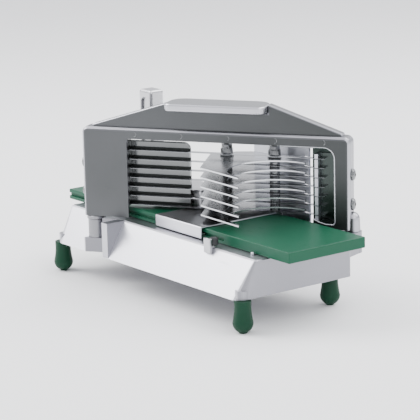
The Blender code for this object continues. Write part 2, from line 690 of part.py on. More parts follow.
# ---------------------------------------------------------------- pusher carriage
def build_saddle():
    """Folded plate over the board; ribs on its skirts run in the board's grooves."""
    t = SADDLE_THICK
    rib = 0.0010
    reach0 = BOARD_Y0 + 0.0020
    reach1 = BOARD_Y1 - 0.0020
    section = [(SADDLE_Y0, SKIRT_LOW + 0.001), (SADDLE_Y0 + 0.001, SKIRT_LOW), (SADDLE_Y0 + t, SKIRT_LOW),
               (SADDLE_Y0 + t, GROOVE_Z - rib), (reach0, GROOVE_Z - rib), (reach0, GROOVE_Z + rib),
               (SADDLE_Y0 + t, GROOVE_Z + rib), (SADDLE_Y0 + t, SADDLE_LOW), (SADDLE_Y1 - t, SADDLE_LOW),
               (SADDLE_Y1 - t, GROOVE_Z + rib), (reach1, GROOVE_Z + rib), (reach1, GROOVE_Z - rib),
               (SADDLE_Y1 - t, GROOVE_Z - rib), (SADDLE_Y1 - t, SKIRT_LOW), (SADDLE_Y1 - 0.001, SKIRT_LOW),
               (SADDLE_Y1, SKIRT_LOW + 0.001), (SADDLE_Y1, SADDLE_TOP - 0.001), (SADDLE_Y1 - 0.001, SADDLE_TOP),
               (SADDLE_Y0 + 0.001, SADDLE_TOP), (SADDLE_Y0, SADDLE_TOP - 0.001)]
    return adopt(run_along_x(section, SADDLE_X0, SADDLE_X1), "saddle_plate", STEEL)


def fin_levels():
    """Middle heights of the fins, halfway between the blades."""
    return [BLADE_TOP - BLADE_PITCH * (i + 0.5) for i in range(FIN_COUNT)]


def fin_outline():
    """Plan of one fin, with its round mouth open to the right."""
    start = math.degrees(math.asin(0.0045 / NOTCH_RADIUS))
    mouth = arc(NOTCH_X, NOTCH_Y, NOTCH_RADIUS, 270 + start, 90 + start, 40)
    return [(0.057, -0.035)] + [(0.142, -0.038)] + mouth + \
           [(NOTCH_X - 0.006, 0.088), (0.034, 0.088), (0.020, 0.082), (0.006, 0.066), (-0.005, 0.029)]


def build_fins():
    """Stack of fins on two rods, with sleeves between them and nuts on top."""
    levels = fin_levels()
    for i, z in enumerate(levels):
        holes = [arc(x, y, ROD_RADIUS + GAP, 0, 345, 23) for x, y in ROD_SPOTS]
        fin = flat_plate([fin_outline()] + holes, z - FIN_THICK / 2, z + FIN_THICK / 2)
        adopt(fin, "fin_%d" % (i + 1), BRIGHT)
    half = FIN_THICK / 2 + GAP
    for side, (x, y) in zip(("front", "rear"), ROD_SPOTS):
        spans = [(levels[i + 1] + half, levels[i] - half) for i in range(FIN_COUNT - 1)]
        spans.append((SADDLE_TOP + GAP, levels[-1] - half))
        for k, (z0, z1) in enumerate(spans):
            sleeve = ring(x, y, z0, z1, ROD_RADIUS + GAP, SLEEVE_RADIUS, 28)
            adopt(sleeve, "sleeve_%s_%d" % (side, k + 1), STEEL)
        nut = stacked_nut(x, y, levels[0] + half)
        adopt(nut, "nut_stack_%s" % side, STEEL)
        stud = turned([(0, ROD_TOP), (ROD_RADIUS - 0.001, ROD_TOP), (ROD_RADIUS, ROD_TOP - 0.001),
                       (ROD_RADIUS, SADDLE_TOP + GAP), (0, SADDLE_TOP + GAP)], x, y, 28)
        adopt(stud, "rod_%s" % side, STEEL)


def ring(x, y, z0, z1, inner, outer, steps):
    """Plain sleeve."""
    outline = arc(0, 0, outer, 0, 360 - 360 / steps, steps - 1)
    hole = arc(0, 0, inner, 0, 360 - 360 / steps, steps - 1)
    obj = plate([outline, hole], z1 - z0)
    obj.location = (x, y, (z0 + z1) / 2)
    smooth(obj)
    return obj


def stacked_nut(x, y, z0):
    """Flanged hexagon nut with a lock nut above it, as one piece."""
    hole = arc(0, 0, ROD_RADIUS + GAP, 0, 345, 23)
    bottom = plate([arc(0, 0, 0.0095, 0, 345, 23), hole], 0.0024)
    bottom.location = (x, y, z0 + 0.0012)
    hexagon = plate([arc(0, 0, 0.0086, 0, 300, 5), hole], 0.0078)
    hexagon.location = (x, y, z0 + 0.0022 + 0.0039)
    upper = plate([arc(0, 0, 0.0080, 30, 330, 5), hole], 0.0062)
    upper.location = (x, y, z0 + 0.0098 + 0.0031)
    fuse(bottom, hexagon)
    fuse(bottom, upper)
    smooth(bottom)
    return bottom


def build_pusher_comb():
    """Upright slotted plate behind the blades, standing on a short foot."""
    u0, u1 = 0.060, 0.150
    off0, off1 = 0.0196, 0.0260
    outline = rounded([(u0, SADDLE_TOP + 0.001), (u0, OPEN_TOP - 0.0060), (u1, OPEN_TOP - 0.0060), (u1, SADDLE_TOP + 0.001)],
                      [0.001, 0.004, 0.009, 0.001])
    comb = panel_plate([outline], off0, off1)
    for z in blade_levels():
        cut(comb, panel_block(u0 - 0.01, u1 + 0.01, off0 - 0.01, off0 + 0.0045, z - 0.0025, z + 0.0025))
    smooth(comb)
    return adopt(comb, "pusher_comb", BRIGHT)


def build_body():
    """Cast body that joins the comb, the carriage plate and the handle."""
    low = SADDLE_TOP + GAP
    top = low + BODY_HIGH
    body = block(BODY_X0, BODY_X1, BODY_Y0, BODY_Y1, low, top)
    soften(body, 0.003, 2, 60)
    arm = panel_block(0.090, 0.148, 0.0260 + GAP, 0.0420, low, top - 0.002)
    soften(arm, 0.002, 2, 60)
    fuse(body, arm)
    glide = block(BODY_X0 + 0.004, -0.030, BODY_Y0 + 0.003, BODY_Y1 - 0.003, BOARD_TOP + SEAT, low + 0.004)
    fuse(body, glide)
    smooth(body)
    return adopt(body, "pusher_body", CAST)


def build_handle():
    """Upright handle with a recessed, round-topped finger panel."""
    low = SADDLE_TOP + 2 * GAP + BODY_HIGH
    x0 = HANDLE_X - HANDLE_WIDE / 2
    x1 = HANDLE_X + HANDLE_WIDE / 2
    y0 = HANDLE_Y - HANDLE_DEEP / 2
    y1 = HANDLE_Y + HANDLE_DEEP / 2
    post = block(x0, x1, max(y0, BODY_Y0), y1 + 0.004, low, HANDLE_TOP)
    soften(post, 0.004, 3, 60)
    w0, w1 = 0.0085, 0.0105
    outline = [(HANDLE_X - w1, low + 0.012)]
    outline += [(HANDLE_X + w1, low + 0.012)]
    outline += arc(HANDLE_X, HANDLE_TOP - 0.0185, w0, 0, 180, 16)
    panel = plate([outline], 0.008)
    panel.data.transform(Matrix.Rotation(math.pi / 2, 4, "X"))
    panel.location = (0, max(y0, BODY_Y0) - 0.001, 0)
    cut(post, panel)
    smooth(post)
    return adopt(post, "handle", CAST)


build_base()
build_feet()
build_board()
build_frame()
build_support()
build_pad()
build_side_screws()
build_blades()
build_holders()
build_fence()
build_stop()
build_saddle()
build_fins()
build_pusher_comb()
build_body()
build_handle()
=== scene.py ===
"""Vegetable dicer: finishes, fine pieces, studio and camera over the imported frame."""
from __future__ import annotations

import logging
import math
from dataclasses import dataclass, field
from enum import Enum
from typing import Any, Iterable, Sequence

import bmesh
import bpy
from mathutils import Matrix, Vector


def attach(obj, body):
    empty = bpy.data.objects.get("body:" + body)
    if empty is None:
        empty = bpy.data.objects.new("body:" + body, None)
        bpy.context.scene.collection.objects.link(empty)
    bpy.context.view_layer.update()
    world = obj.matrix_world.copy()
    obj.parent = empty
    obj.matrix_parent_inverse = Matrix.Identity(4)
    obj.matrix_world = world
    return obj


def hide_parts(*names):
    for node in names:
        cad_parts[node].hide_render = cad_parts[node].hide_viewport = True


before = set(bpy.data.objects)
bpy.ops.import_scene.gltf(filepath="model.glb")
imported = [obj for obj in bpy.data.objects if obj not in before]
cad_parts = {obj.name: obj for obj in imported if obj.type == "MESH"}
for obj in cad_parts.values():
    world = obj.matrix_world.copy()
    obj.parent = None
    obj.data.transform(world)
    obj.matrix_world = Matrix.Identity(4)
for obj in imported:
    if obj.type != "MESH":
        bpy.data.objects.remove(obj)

LOG = logging.getLogger("vegetable_dicer")
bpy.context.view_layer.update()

# ------------------------------------------------------------------ shared sizes (metres)
SHIFT_X = -0.0050
SHIFT_Y = -0.021309
PANEL_ANGLE = math.radians(33.86)
PANEL_ORIGIN = Vector((-0.1339 + SHIFT_X, -0.0945 + SHIFT_Y, 0.0))
FIN_COUNT = 6

# ------------------------------------------------------------------ looks
SHADE = 0.88          # a metal's darker tint, as a share of its colour
GRAIN_LINES = 30.0    # scale of the brushed grain
LEFT_LIGHT_FROM = 0.15      # X from which painted light grows over the painted shade, towards the left

# ------------------------------------------------------------------ mesh working
WELD_DISTANCE = 0.000004
FLAT_WITHIN = 0.4     # degrees
BEVEL_SEGMENTS = 2
BEVEL_ABOVE = 38      # degrees
BEVEL_SHARP = 40      # degrees
RINGS_PER_TURN = 6
STUD_SIDES = 24
BEAD_SIDES = 10

Colour = tuple[float, float, float]
Way = tuple[float, float, float]
Place = tuple[float, float, float]
Tones = tuple[tuple[Way, float], ...]

# ------------------------------------------------------------------ facing directions
UP: Way = (0.0, 0.0, 1.0)
DOWN: Way = (0.0, 0.0, -1.0)
RIGHT: Way = (1.0, 0.0, 0.0)
LEFT: Way = (-1.0, 0.0, 0.0)
FORWARD: Way = (0.0, -1.0, 0.0)
BACKWARD: Way = (0.0, 1.0, 0.0)
PANEL_FRONT: Way = (0.557, -0.830, 0.0)
PANEL_BACK: Way = (-0.557, 0.830, 0.0)
PANEL_RIGHT: Way = (0.830, 0.557, 0.0)
PANEL_LEFT: Way = (-0.830, -0.557, 0.0)

# painted light of each facing direction: one is a painted highlight, nought is painted shade
HOUSING_TONES: Tones = (
    ((0.0, -0.86, 0.51), 1.0), ((1.0, 0.0, 0.25), 0.20), ((0.75, -0.60, 0.28), 0.30),
    (UP, 0.35), ((-1.0, 0.0, 0.25), 0.60), (BACKWARD, 0.50), (DOWN, 0.0), (PANEL_FRONT, 0.05),
    ((-0.7, -0.7, 0.0), 0.25))
PORTAL_TONES: Tones = (
    (PANEL_FRONT, 0.0), (PANEL_BACK, 0.20), (UP, 0.40), (PANEL_RIGHT, 0.70), (PANEL_LEFT, 0.30),
    (DOWN, 0.40), ((0.45, -0.66, 0.60), 0.95), ((0.98, -0.19, 0.0), 1.0),
    ((-0.19, -0.98, 0.0), 0.90))
PAD_TONES: Tones = (
    (UP, 0.15), (PANEL_FRONT, 0.9), ((0.40, -0.60, 0.70), 1.0), (PANEL_RIGHT, 0.7),
    (PANEL_BACK, 0.4), (PANEL_LEFT, 0.5), (DOWN, 0.0))
SADDLE_TONES: Tones = (
    (FORWARD, 1.0), (UP, 0.20), (RIGHT, 0.9), ((0.0, -0.7, 0.7), 1.0), (BACKWARD, 0.8),
    (LEFT, 0.6), (DOWN, 0.1))
FIN_TONES: Tones = (
    (UP, 0.45), (DOWN, 0.0), (FORWARD, 1.0), (RIGHT, 1.0), (BACKWARD, 1.0), (LEFT, 0.8))


class Body(Enum):
    """Rigid bodies of the machine."""

    BASE = "base"
    PUSHER = "pusher"


class Grain(Enum):
    """Direction in which a metal face was brushed, as stretch factors along X, Y and Z."""

    ALONG_X = (1.0, 40.0, 40.0)
    ALONG_Y = (40.0, 1.0, 40.0)
    UPRIGHT = (40.0, 40.0, 1.0)


def panel_point(u: float, off: float, z: float) -> Vector:
    """Place given along, square to and above the diagonal blade frame.

    Args:
        u: distance along the frame from its left end.
        off: depth behind the frame's front face.
        z: height above the floor.

    Returns:
        The same place in the shared frame.
    """
    turn = Matrix.Rotation(PANEL_ANGLE, 3, "Z")
    return PANEL_ORIGIN + turn @ Vector((u, off, z))


# ------------------------------------------------------------------ shader helpers
class Sock:
    """A value socket that can be used in arithmetic."""

    def __init__(self, tree: "ShaderTree", link: Any) -> None:
        """Wrap an output socket.

        Args:
            tree: tree that the socket belongs to.
            link: the output socket.
        """
        self.tree = tree
        self.link = link

    def _maths(self, operation: str, first: Any, second: Any = 0.0) -> "Sock":
        """Add a Math node for one operation."""
        return self.tree.node("ShaderNodeMath", {"operation": operation}, {0: first, 1: second})

    def __add__(self, other: Any) -> "Sock":
        """Sum."""
        return self._maths("ADD", self, other)

    def __radd__(self, other: Any) -> "Sock":
        """Reflected sum."""
        return self._maths("ADD", other, self)

    def __sub__(self, other: Any) -> "Sock":
        """Difference."""
        return self._maths("SUBTRACT", self, other)

    def __rsub__(self, other: Any) -> "Sock":
        """Reflected difference."""
        return self._maths("SUBTRACT", other, self)

    def __mul__(self, other: Any) -> "Sock":
        """Product."""
        return self._maths("MULTIPLY", self, other)

    def __rmul__(self, other: Any) -> "Sock":
        """Reflected product."""
        return self._maths("MULTIPLY", other, self)

    def over(self, edge: float) -> "Sock":
        """One where the value is above an edge, else nought."""
        return self._maths("GREATER_THAN", self, edge)


class ShaderTree:
    """Node tree of one material with a Principled shader."""

    def __init__(self, name: str) -> None:
        """Start a material.

        Args:
            name: name of the material.
        """
        self.material = bpy.data.materials.new(name)
        self.material.use_nodes = True
        self.nodes = self.material.node_tree.nodes
        self.links = self.material.node_tree.links
        self.shader = self.nodes["Principled BSDF"]

    def node(self, kind: str, settings: dict[str, Any], inputs: dict[Any, Any],
             output: Any = 0) -> Sock:
        """Add one node.

        Args:
            kind: node type.
            settings: properties of the node, set first.
            inputs: value or link of each input socket.
            output: which output is handed back.

        Returns:
            The chosen output socket.
        """
        made = self.nodes.new(kind)
        for key, value in settings.items():
            setattr(made, key, value)
        for key, value in inputs.items():
            self.feed(made.inputs[key], value)
        return Sock(self, made.outputs[output])

    def feed(self, socket: Any, value: Any) -> None:
        """Link or set an input socket."""
        if isinstance(value, Sock):
            self.links.new(value.link, socket)
        else:
            socket.default_value = value

    def place(self) -> Sock:
        """Object coordinates."""
        return self.node("ShaderNodeTexCoord", {}, {}, "Object")

    def tone(self) -> Sock:
        """Painted light and shade on the mesh, by facing direction: one is painted highlight,
        nought is painted shade.
        """
        return self.node("ShaderNodeAttribute", {"attribute_name": "tone"}, {}, "Fac")

    def stretched(self, factors: Sequence[float]) -> Sock:
        """Object coordinates stretched along each axis."""
        return self.node("ShaderNodeMapping", {}, {"Vector": self.place(), "Scale": tuple(factors)})

    def noise(self, scale: float, detail: float = 3.0, where: Sock | None = None) -> Sock:
        """Noise value.

        Args:
            scale: scale of the noise.
            detail: octaves.
            where: coordinates, else object coordinates.

        Returns:
            The noise factor.
        """
        return self.node("ShaderNodeTexNoise", {}, {"Vector": where or self.place(), "Scale": scale,
                                                    "Detail": detail}, 0)

    def blend(self, factor: Any, first: Sequence[float], second: Sequence[float]) -> Sock:
        """Mix of two colours.

        Args:
            factor: share of the second colour.
            first: first colour.
            second: second colour.

        Returns:
            The mixed colour.
        """
        made = self.nodes.new("ShaderNodeMix")
        made.data_type = "RGBA"
        self.feed(made.inputs[0], factor)
        self.feed(made.inputs[6], first if isinstance(first, Sock) else (*first, 1.0))
        self.feed(made.inputs[7], second if isinstance(second, Sock) else (*second, 1.0))
        return Sock(self, made.outputs[2])

    def bump(self, height: Sock, strength: float, distance: float) -> None:
        """Feed a Bump node into Normal."""
        made = self.node("ShaderNodeBump", {}, {"Height": height, "Strength": strength,
                                                "Distance": distance})
        self.feed(self.shader.inputs["Normal"], made)


# ------------------------------------------------------------------ finishes
@dataclass(frozen=True)
class CastFinish:
    """Tumbled cast aluminium with faint pores, handling marks and cloudy gloss, with optional
    painted shade on faces turned from the light and painted light growing towards the left.
    """

    name: str
    colour: Colour
    roughness: float
    spread: float
    pores: float
    # colour of the painted shade on faces turned from the light, and how fast painted light grows
    # towards the left
    painted_shade: Colour | None = None
    left_light: float = 0.0

    def build(self) -> bpy.types.Material:
        """Make the material."""
        tree = ShaderTree(self.name)
        cloud = tree.noise(9.0, 4.0)
        fine = tree.noise(420.0, 3.0)
        marks = tree.noise(26.0, 6.0, tree.stretched((1.0, 1.0, 9.0))).over(0.67)
        dark = tuple(c * SHADE for c in self.colour)
        tint = tree.blend(cloud, dark, self.colour)
        # painted shade on faces turned from the light, giving way to painted light towards the left
        if self.painted_shade is not None:
            across = tree.node("ShaderNodeSeparateXYZ", {}, {0: tree.place()}, "X")
            share = self.left_light * (LEFT_LIGHT_FROM - across) + cloud * 0.10
            shaded_tint = tree.blend(share, self.painted_shade, self.colour)
            tint = tree.blend(tree.tone(), shaded_tint, tint)
        tree.feed(tree.shader.inputs["Base Color"], tint)
        rough = self.roughness + (cloud - 0.5) * self.spread + marks * 0.07 + (fine - 0.5) * 0.06
        tree.feed(tree.shader.inputs["Roughness"], rough)
        tree.feed(tree.shader.inputs["Metallic"], 1.0)
        tree.bump(fine * 0.7 + cloud * 0.3, self.pores, 0.0006)
        return tree.material


@dataclass(frozen=True)
class SheetFinish:
    """Rolled or ground steel with a brushed grain, with optional painted shade on faces turned from
    the light.
    """

    name: str
    colour: Colour
    roughness: float
    grain: Grain
    strength: float
    # colour of the painted shade on faces turned from the light
    painted_shade: Colour | None = None

    def build(self) -> bpy.types.Material:
        """Make the material."""
        tree = ShaderTree(self.name)
        lines = tree.noise(GRAIN_LINES, 5.0, tree.stretched(self.grain.value))
        smear = tree.noise(14.0, 3.0)
        shade = tuple(c * SHADE for c in self.colour)
        tint = tree.blend(smear, shade, self.colour)
        # painted shade on faces turned from the light, by the painted tone
        if self.painted_shade is not None:
            tint = tree.blend(tree.tone(), self.painted_shade, tint)
        tree.feed(tree.shader.inputs["Base Color"], tint)
        rough = self.roughness + (lines - 0.5) * 0.14 + (smear - 0.5) * 0.10
        tree.feed(tree.shader.inputs["Roughness"], rough)
        tree.feed(tree.shader.inputs["Metallic"], 1.0)
        tree.bump(lines, self.strength, 0.0002)
        return tree.material


@dataclass(frozen=True)
class GroovedFinish:
    """Polished plate with painted shade in its level grooves."""

    name: str
    colour: Colour
    # colour of the painted shade in the grooves
    groove_shade: Colour
    top: float = 0.1885
    pitch: float = 0.0127
    half: float = 0.0030

    def build(self) -> bpy.types.Material:
        """Make the material."""
        tree = ShaderTree(self.name)
        height = tree.node("ShaderNodeSeparateXYZ", {}, {0: tree.place()}, "Z")
        turns = (height - (self.top - self.pitch / 2)) * (1.0 / self.pitch)
        part = tree.node("ShaderNodeMath", {"operation": "FRACT"}, {0: turns + 20.0})
        away = tree.node("ShaderNodeMath", {"operation": "ABSOLUTE"}, {0: part - 0.5})
        # mask of the grooves, where the painted shade goes
        near = 1.0 - away.over(self.half / self.pitch)
        smear = tree.noise(22.0, 4.0)
        tint = tree.blend(near * (0.85 + smear * 0.15), self.colour, self.groove_shade)
        tree.feed(tree.shader.inputs["Base Color"], tint)
        tree.feed(tree.shader.inputs["Roughness"], 0.20 + near * 0.30 + (smear - 0.5) * 0.10)
        tree.feed(tree.shader.inputs["Metallic"], 1.0)
        lines = tree.noise(GRAIN_LINES, 5.0, tree.stretched(Grain.ALONG_X.value))
        tree.bump(lines, 0.04, 0.0002)
        return tree.material


@dataclass(frozen=True)
class PlasticFinish:
    """Moulded plastic board, lightly scuffed by use."""

    name: str
    colour: Colour
    worn: Colour
    roughness: float

    def build(self) -> bpy.types.Material:
        """Make the material."""
        tree = ShaderTree(self.name)
        cloud = tree.noise(11.0, 4.0)
        scuff = tree.noise(60.0, 6.0, tree.stretched((1.0, 14.0, 14.0))).over(0.66)
        grainy = tree.noise(700.0, 2.0)
        tint = tree.blend(cloud * 0.45 + scuff * 0.10, self.colour, self.worn)
        tree.feed(tree.shader.inputs["Base Color"], tint)
        rough = self.roughness + (cloud - 0.5) * 0.12 + scuff * 0.10
        tree.feed(tree.shader.inputs["Roughness"], rough)
        tree.feed(tree.shader.inputs["Specular IOR Level"], 0.24)
        tree.bump(grainy * 0.5 + scuff * 0.5, 0.10, 0.0003)
        return tree.material


@dataclass(frozen=True)
class RubberFinish:
    """Soft moulded rubber with a faint dusty bloom."""

    name: str
    colour: Colour
    bloom: Colour

    def build(self) -> bpy.types.Material:
        """Make the material."""
        tree = ShaderTree(self.name)
        cloud = tree.noise(70.0, 4.0)
        tint = tree.blend(cloud * 0.5, self.colour, self.bloom)
        tree.feed(tree.shader.inputs["Base Color"], tint)
        tree.feed(tree.shader.inputs["Roughness"], 0.48 + (cloud - 0.5) * 0.16)
        tree.feed(tree.shader.inputs["Specular IOR Level"], 0.20)
        tree.bump(tree.noise(900.0, 2.0), 0.12, 0.0003)
        return tree.material


# The last colour of a cast or sheet finish, where given, is painted shade on faces turned from the
# light; the frame's last number sets painted light growing towards the left.
FINISHES: dict[str, Any] = {
    "housing": CastFinish("cast_housing", (0.80, 0.80, 0.85), 0.40, 0.10, 0.05,
                          (0.16, 0.16, 0.18)),
    "frame": CastFinish("cast_frame", (0.50, 0.50, 0.54), 0.36, 0.10, 0.07,
                        (0.042, 0.046, 0.044), 0.24),
    "handle": CastFinish("cast_handle", (0.60, 0.60, 0.62), 0.32, 0.10, 0.06),
    "pad": CastFinish("grip_alloy", (0.64, 0.64, 0.68), 0.30, 0.10, 0.05, (0.22, 0.225, 0.23)),
    "sheet": SheetFinish("carriage_sheet", (0.80, 0.80, 0.86), 0.38, Grain.ALONG_X, 0.05,
                         (0.15, 0.155, 0.155)),
    "mirror": SheetFinish("polished_sheet", (0.66, 0.67, 0.72), 0.34, Grain.UPRIGHT, 0.03),
    # near-black colour of the back plate is painted shade of the recess behind the left comb
    "backing": SheetFinish("backing_sheet", (0.030, 0.040, 0.036), 0.30, Grain.UPRIGHT, 0.03),
    # the comb's second colour is painted shade in its grooves
    "comb": GroovedFinish("grooved_comb", (0.15, 0.155, 0.155), (0.018, 0.020, 0.019)),
    "holder": SheetFinish("holder_plate", (0.050, 0.060, 0.056), 0.20, Grain.UPRIGHT, 0.03),
    "blade": SheetFinish("ground_blade", (0.50, 0.51, 0.53), 0.22, Grain.ALONG_X, 0.04),
    "fin": SheetFinish("polished_fin", (0.72, 0.73, 0.76), 0.22, Grain.ALONG_Y, 0.04,
                       (0.20, 0.205, 0.205)),
    "turned": SheetFinish("turned_steel", (0.20, 0.205, 0.21), 0.26, Grain.UPRIGHT, 0.05),
    "spigot": SheetFinish("bright_turned_steel", (0.26, 0.26, 0.275), 0.30, Grain.UPRIGHT, 0.05),
    "thread": SheetFinish("cut_thread", (0.05, 0.052, 0.055), 0.34, Grain.UPRIGHT, 0.05),
    "green": PlasticFinish("green_board", (0.003, 0.066, 0.032), (0.008, 0.090, 0.048), 0.40),
    "rubber": RubberFinish("green_rubber", (0.001, 0.030, 0.013), (0.005, 0.046, 0.022)),
    "bumper": RubberFinish("dark_bumper", (0.030, 0.032, 0.034), (0.060, 0.060, 0.062)),
    # bright bead standing in for the highlight on the opening's rounded edge
    "bead": CastFinish("edge_highlight", (0.62, 0.63, 0.66), 0.26, 0.06, 0.04),
}


class Shop:
    """Makes each finish once and dresses pieces in it."""

    def __init__(self) -> None:
        """Start with no materials made."""
        self.made: dict[str, bpy.types.Material] = {}

    def get(self, key: str) -> bpy.types.Material:
        """Material of a finish.

        Args:
            key: name of the finish in FINISHES.

        Returns:
            The material.
        """
        if key not in self.made:
            self.made[key] = FINISHES[key].build()
        return self.made[key]

    def dress(self, obj: bpy.types.Object, key: str) -> None:
        """Give an object one finish all over."""
        obj.data.materials.clear()
        obj.data.materials.append(self.get(key))


# ------------------------------------------------------------------ mesh helpers
def settle(obj: bpy.types.Object) -> None:
    """Turn an object's modifiers into plain mesh."""
    bpy.context.view_layer.update()
    graph = bpy.context.evaluated_depsgraph_get()
    mesh = bpy.data.meshes.new_from_object(obj.evaluated_get(graph))
    obj.modifiers.clear()
    obj.data = mesh


def smooth(obj: bpy.types.Object, angle: float = 32.0) -> None:
    """Smooth shading with sharp edges kept above an angle."""
    mesh = obj.data
    mesh.polygons.foreach_set("use_smooth", [True] * len(mesh.polygons))
    mesh.set_sharp_from_angle(angle=math.radians(angle))


def softened(node: str, name: str, width: float) -> bpy.types.Object:
    """Copy of a CAD node with its edges rounded.

    Args:
        node: name of the CAD node.
        name: name of the new piece.
        width: bevel width.

    Returns:
        The new piece.
    """
    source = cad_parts[node]
    mesh = source.data.copy()
    obj = bpy.data.objects.new(name, mesh)
    bpy.context.scene.collection.objects.link(obj)
    work = bmesh.new()
    work.from_mesh(mesh)
    bmesh.ops.remove_doubles(work, verts=work.verts, dist=WELD_DISTANCE)
    bmesh.ops.dissolve_limit(work, angle_limit=math.radians(FLAT_WITHIN), verts=work.verts,
                             edges=work.edges)
    work.to_mesh(mesh)
    work.free()
    bevel = obj.modifiers.new("rounded", "BEVEL")
    bevel.width = width
    bevel.segments = BEVEL_SEGMENTS
    bevel.limit_method = "ANGLE"
    bevel.angle_limit = math.radians(BEVEL_ABOVE)
    settle(obj)
    smooth(obj, BEVEL_SHARP)
    return obj


def copied(node: str, name: str, angle: float = 32.0) -> bpy.types.Object:
    """Plain copy of a CAD node.

    Args:
        node: name of the CAD node.
        name: name of the new piece.
        angle: edges sharper than this stay sharp.

    Returns:
        The new piece.
    """
    obj = bpy.data.objects.new(name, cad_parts[node].data.copy())
    bpy.context.scene.collection.objects.link(obj)
    smooth(obj, angle)
    return obj


def paint_facing_light(obj: bpy.types.Object, tones: Tones, power: float) -> None:
    """Paint light and shade into a "tone" attribute that depends on which way the surface faces.

    Args:
        obj: the piece.
        tones: facing direction and its painted light, from nought (painted shade) to one (painted
            highlight).
        power: how sharply one direction gives way to the next.
    """
    ways = [(Vector(way).normalized(), value) for way, value in tones]
    mesh = obj.data
    values: list[float] = []
    for corner in mesh.corner_normals:
        shares = [max(0.0, corner.vector.dot(way)) ** power for way, _ in ways]
        total = sum(shares)
        worth = sum(share * value for share, (_, value) in zip(shares, ways))
        values.append(worth / total if total > 1e-9 else 0.5)
    layer = mesh.attributes.new("tone", "FLOAT", "CORNER")
    layer.data.foreach_set("value", values)


def install(obj: bpy.types.Object, body: Body, slot: str, *nodes: str) -> None:
    """Ride a piece on its body and let it stand for CAD nodes.

    Args:
        obj: the finished piece.
        body: body that it moves with.
        slot: not used.
        nodes: CAD nodes that it replaces.
    """
    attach(obj, body.value)
    if nodes:
        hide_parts(*nodes)
    LOG.info("%s rides on %s", obj.name, body.value)


# ------------------------------------------------------------------ geometry nodes
class GeoTree:
    """Geometry node group with named size inputs."""

    def __init__(self, name: str, sizes: dict[str, float]) -> None:
        """Start a group.

        Args:
            name: name of the group.
            sizes: names and values of the float inputs.
        """
        self.group = bpy.data.node_groups.new(name, "GeometryNodeTree")
        face = self.group.interface
        face.new_socket("Geometry", in_out="INPUT", socket_type="NodeSocketGeometry")
        self.idents: dict[str, str] = {}
        for key in sizes:
            made = face.new_socket(key, in_out="INPUT", socket_type="NodeSocketFloat")
            self.idents[key] = made.identifier
        face.new_socket("Geometry", in_out="OUTPUT", socket_type="NodeSocketGeometry")
        self.sizes = sizes
        self.entry = self.group.nodes.new("NodeGroupInput")
        self.exit = self.group.nodes.new("NodeGroupOutput")

    def node(self, kind: str, settings: dict[str, Any], inputs: dict[Any, Any],
             output: Any = 0) -> Any:
        """Add one node.

        Args:
            kind: node type.
            settings: properties, set first.
            inputs: value or link of each input.
            output: which output is handed back.

        Returns:
            The output socket.
        """
        made = self.group.nodes.new(kind)
        for key, value in settings.items():
            setattr(made, key, value)
        for key, value in inputs.items():
            if isinstance(value, bpy.types.NodeSocket):
                self.group.links.new(value, made.inputs[key])
            else:
                made.inputs[key].default_value = value
        return made.outputs[output]

    def maths(self, operation: str, first: Any, second: Any = 0.0) -> Any:
        """Math node."""
        return self.node("ShaderNodeMath", {"operation": operation}, {0: first, 1: second})

    def size(self, key: str) -> Any:
        """Output of a named size."""
        return self.entry.outputs[key]

    def bake(self, name: str, geometry: Any, material: bpy.types.Material) -> bpy.types.Object:
        """Realise, dress and turn into a plain mesh.

        Args:
            name: name of the piece.
            geometry: last geometry socket.
            material: its material.

        Returns:
            A plain mesh object at the origin.
        """
        real = self.node("GeometryNodeRealizeInstances", {}, {0: geometry})
        dressed = self.node("GeometryNodeSetMaterial", {}, {"Geometry": real, "Material": material})
        self.group.links.new(dressed, self.exit.inputs[0])
        mesh = bpy.data.meshes.new(name)
        obj = bpy.data.objects.new(name, mesh)
        bpy.context.scene.collection.objects.link(obj)
        mod = obj.modifiers.new("build", "NODES")
        mod.node_group = self.group
        for key, value in self.sizes.items():
            mod[self.idents[key]] = value
        settle(obj)
        return obj


def threaded_stud(name: str, radius: float, low: float, high: float, pitch: float, depth: float,
                  material: bpy.types.Material) -> bpy.types.Object:
    """Stud with a helical thread, standing at the origin.

    Args:
        name: name of the piece.
        radius: outer radius.
        low: lower end.
        high: upper end.
        pitch: thread pitch.
        depth: thread depth.
        material: its finish.

    Returns:
        The threaded stud.
    """
    tree = GeoTree("thread", {"Radius": radius, "Height": high - low, "Pitch": pitch,
                              "Depth": depth})
    rings = int((high - low) / pitch * RINGS_PER_TURN)
    body = tree.node("GeometryNodeMeshCylinder", {}, {
        "Vertices": STUD_SIDES, "Side Segments": rings, "Radius": tree.size("Radius"),
        "Depth": tree.size("Height")})
    spot = tree.node("GeometryNodeInputPosition", {}, {})
    made = tree.group.nodes.new("ShaderNodeSeparateXYZ")
    tree.group.links.new(spot, made.inputs[0])
    x, y, z = made.outputs[0], made.outputs[1], made.outputs[2]
    turn = tree.maths("ARCTAN2", y, x)
    climb = tree.maths("DIVIDE", tree.maths("MULTIPLY", z, math.tau), tree.size("Pitch"))
    phase = tree.maths("SUBTRACT", climb, turn)
    wave = tree.maths("SUBTRACT", tree.maths("MULTIPLY", tree.maths("COSINE", phase), 0.5), 0.5)
    depth_here = tree.maths("MULTIPLY", wave, tree.size("Depth"))
    cut = tree.maths("DIVIDE", depth_here, tree.size("Radius"))
    flat = tree.node("ShaderNodeCombineXYZ", {}, {0: x, 1: y, 2: 0.0})
    shift = tree.node("ShaderNodeVectorMath", {"operation": "SCALE"}, {0: flat, "Scale": cut})
    shaped = tree.node("GeometryNodeSetPosition", {}, {"Geometry": body, "Offset": shift})
    obj = tree.bake(name, shaped, material)
    obj.data.transform(Matrix.Translation((0, 0, (low + high) / 2)))
    smooth(obj, 50)
    return obj


